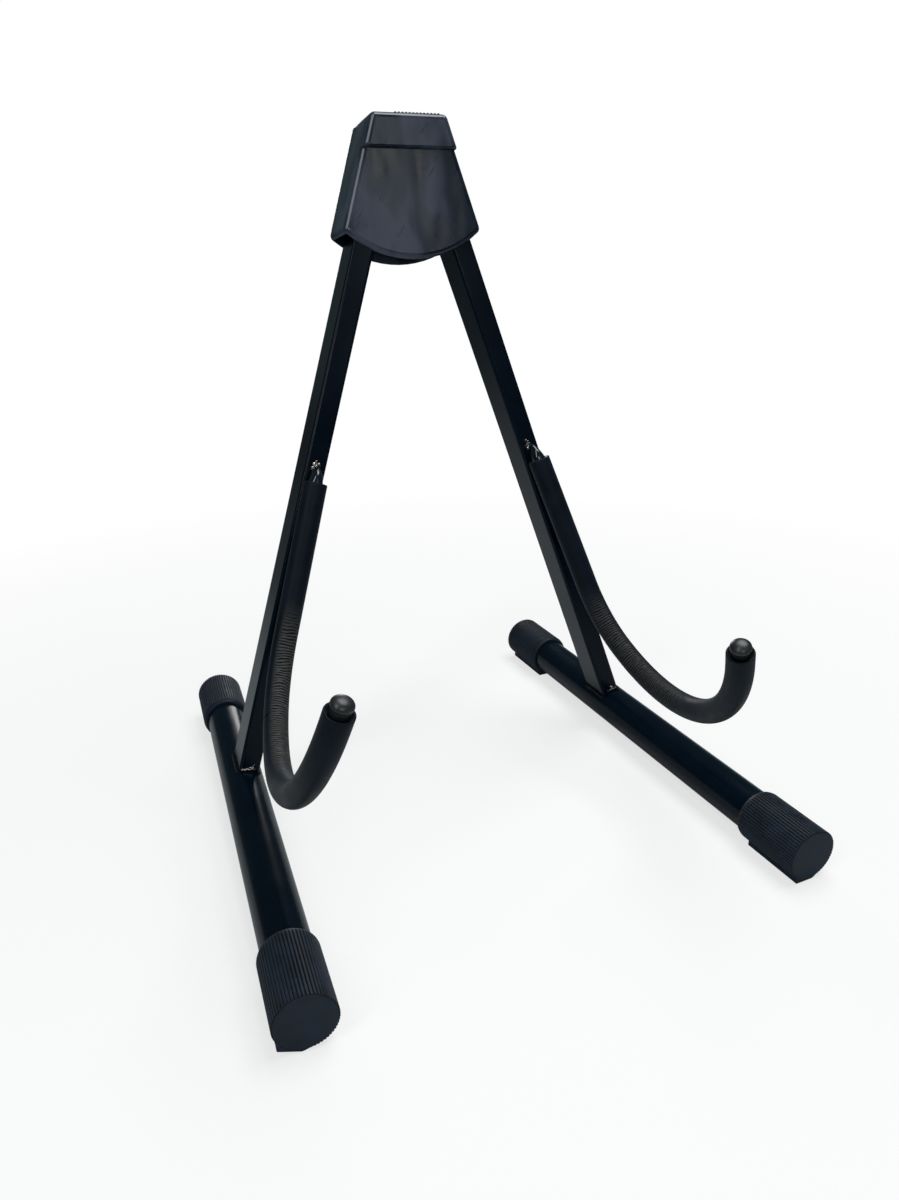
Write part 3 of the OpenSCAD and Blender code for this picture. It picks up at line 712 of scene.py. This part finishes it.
def make_floor():
    """Pale paper, which fades into the white backdrop away from the stand. The light that it gives
    back to the stand is cooler and dimmer than what the camera sees of it, and for that light and
    for reflections its colour darkens with distance from the stand: a painted pool of light."""
    material, tree, shader, place = new_material("matt_paper")
    shader.inputs["Roughness"].default_value = 0.9
    shader.inputs["Specular IOR Level"].default_value = 0.1
    share = white_share(tree)
    far = add(tree, "ShaderNodeVectorMath", {0: place}, operation="LENGTH").outputs["Value"]
    # Paler near the stand and darker away from it: a painted pool of light.
    painted_light_pool = two_tones(tree, far, 0.26, "#bcc3c6", 0.7, "#4b5a60")
    tree.links.new(blend(tree, share, painted_light_pool, linear("#f9f9f9")), shader.inputs["Base Color"])
    fade = span(tree, far, *FLOOR_FADE, 0.68, 1.0)
    faded = add(tree, "ShaderNodeMath", {0: fade, 1: share}, operation="MULTIPLY")
    white = add(tree, "ShaderNodeEmission", {"Color": grey(1.0), "Strength": 1.0})
    mix = add(tree, "ShaderNodeMixShader",
              {0: faded.outputs[0], 1: shader.outputs[0], 2: white.outputs[0]})
    tree.links.new(mix.outputs[0], tree.nodes["Material Output"].inputs["Surface"])
    shape = bmesh.new()
    bmesh.ops.create_grid(shape, x_segments=1, y_segments=1, size=FLOOR_SIZE)
    mesh = bpy.data.meshes.new("floor")
    shape.to_mesh(mesh)
    shape.free()
    mesh.materials.append(material)
    floor = bpy.data.objects.new("floor", mesh)
    bpy.context.scene.collection.objects.link(floor)


def make_world():
    """A white backdrop and a dim, cool fill."""
    world = bpy.data.worlds.new("studio")
    bpy.context.scene.world = world
    world.use_nodes = True
    tree = world.node_tree
    tree.nodes.clear()
    fill = add(tree, "ShaderNodeBackground", {"Color": linear("#a9dae2"), "Strength": 0.085})
    white = add(tree, "ShaderNodeBackground", {"Color": grey(1.0), "Strength": 1.0})
    mix = add(tree, "ShaderNodeMixShader",
              {0: white_share(tree), 1: fill.outputs[0], 2: white.outputs[0]})
    add(tree, "ShaderNodeOutputWorld", {"Surface": mix.outputs[0]})


def softbox(name, place, target, size, power):
    data = bpy.data.lights.new(name, "AREA")
    data.shape = "RECTANGLE"
    data.size, data.size_y = size
    data.energy = power
    light = bpy.data.objects.new(name, data)
    light.location = place
    light.rotation_euler = (Vector(target) - Vector(place)).to_track_quat("-Z", "Y").to_euler()
    light.visible_camera = False
    bpy.context.scene.collection.objects.link(light)


make_camera()
make_floor()
make_world()
for name, settings in LIGHTS.items():
    softbox(name, *settings)
dress_nodes()
for side in SIDES:
    hook_rod(side)
    foam_sleeve(side)
    tip_dome(side)
    weld_lumps("hook_bead", side, HOOK_LUMPS[side], "hook_weld_" + side)
    weld_lumps("foot_bead", side, FOOT_LUMPS[side])

bpy.context.scene.view_settings.view_transform = "Standard"
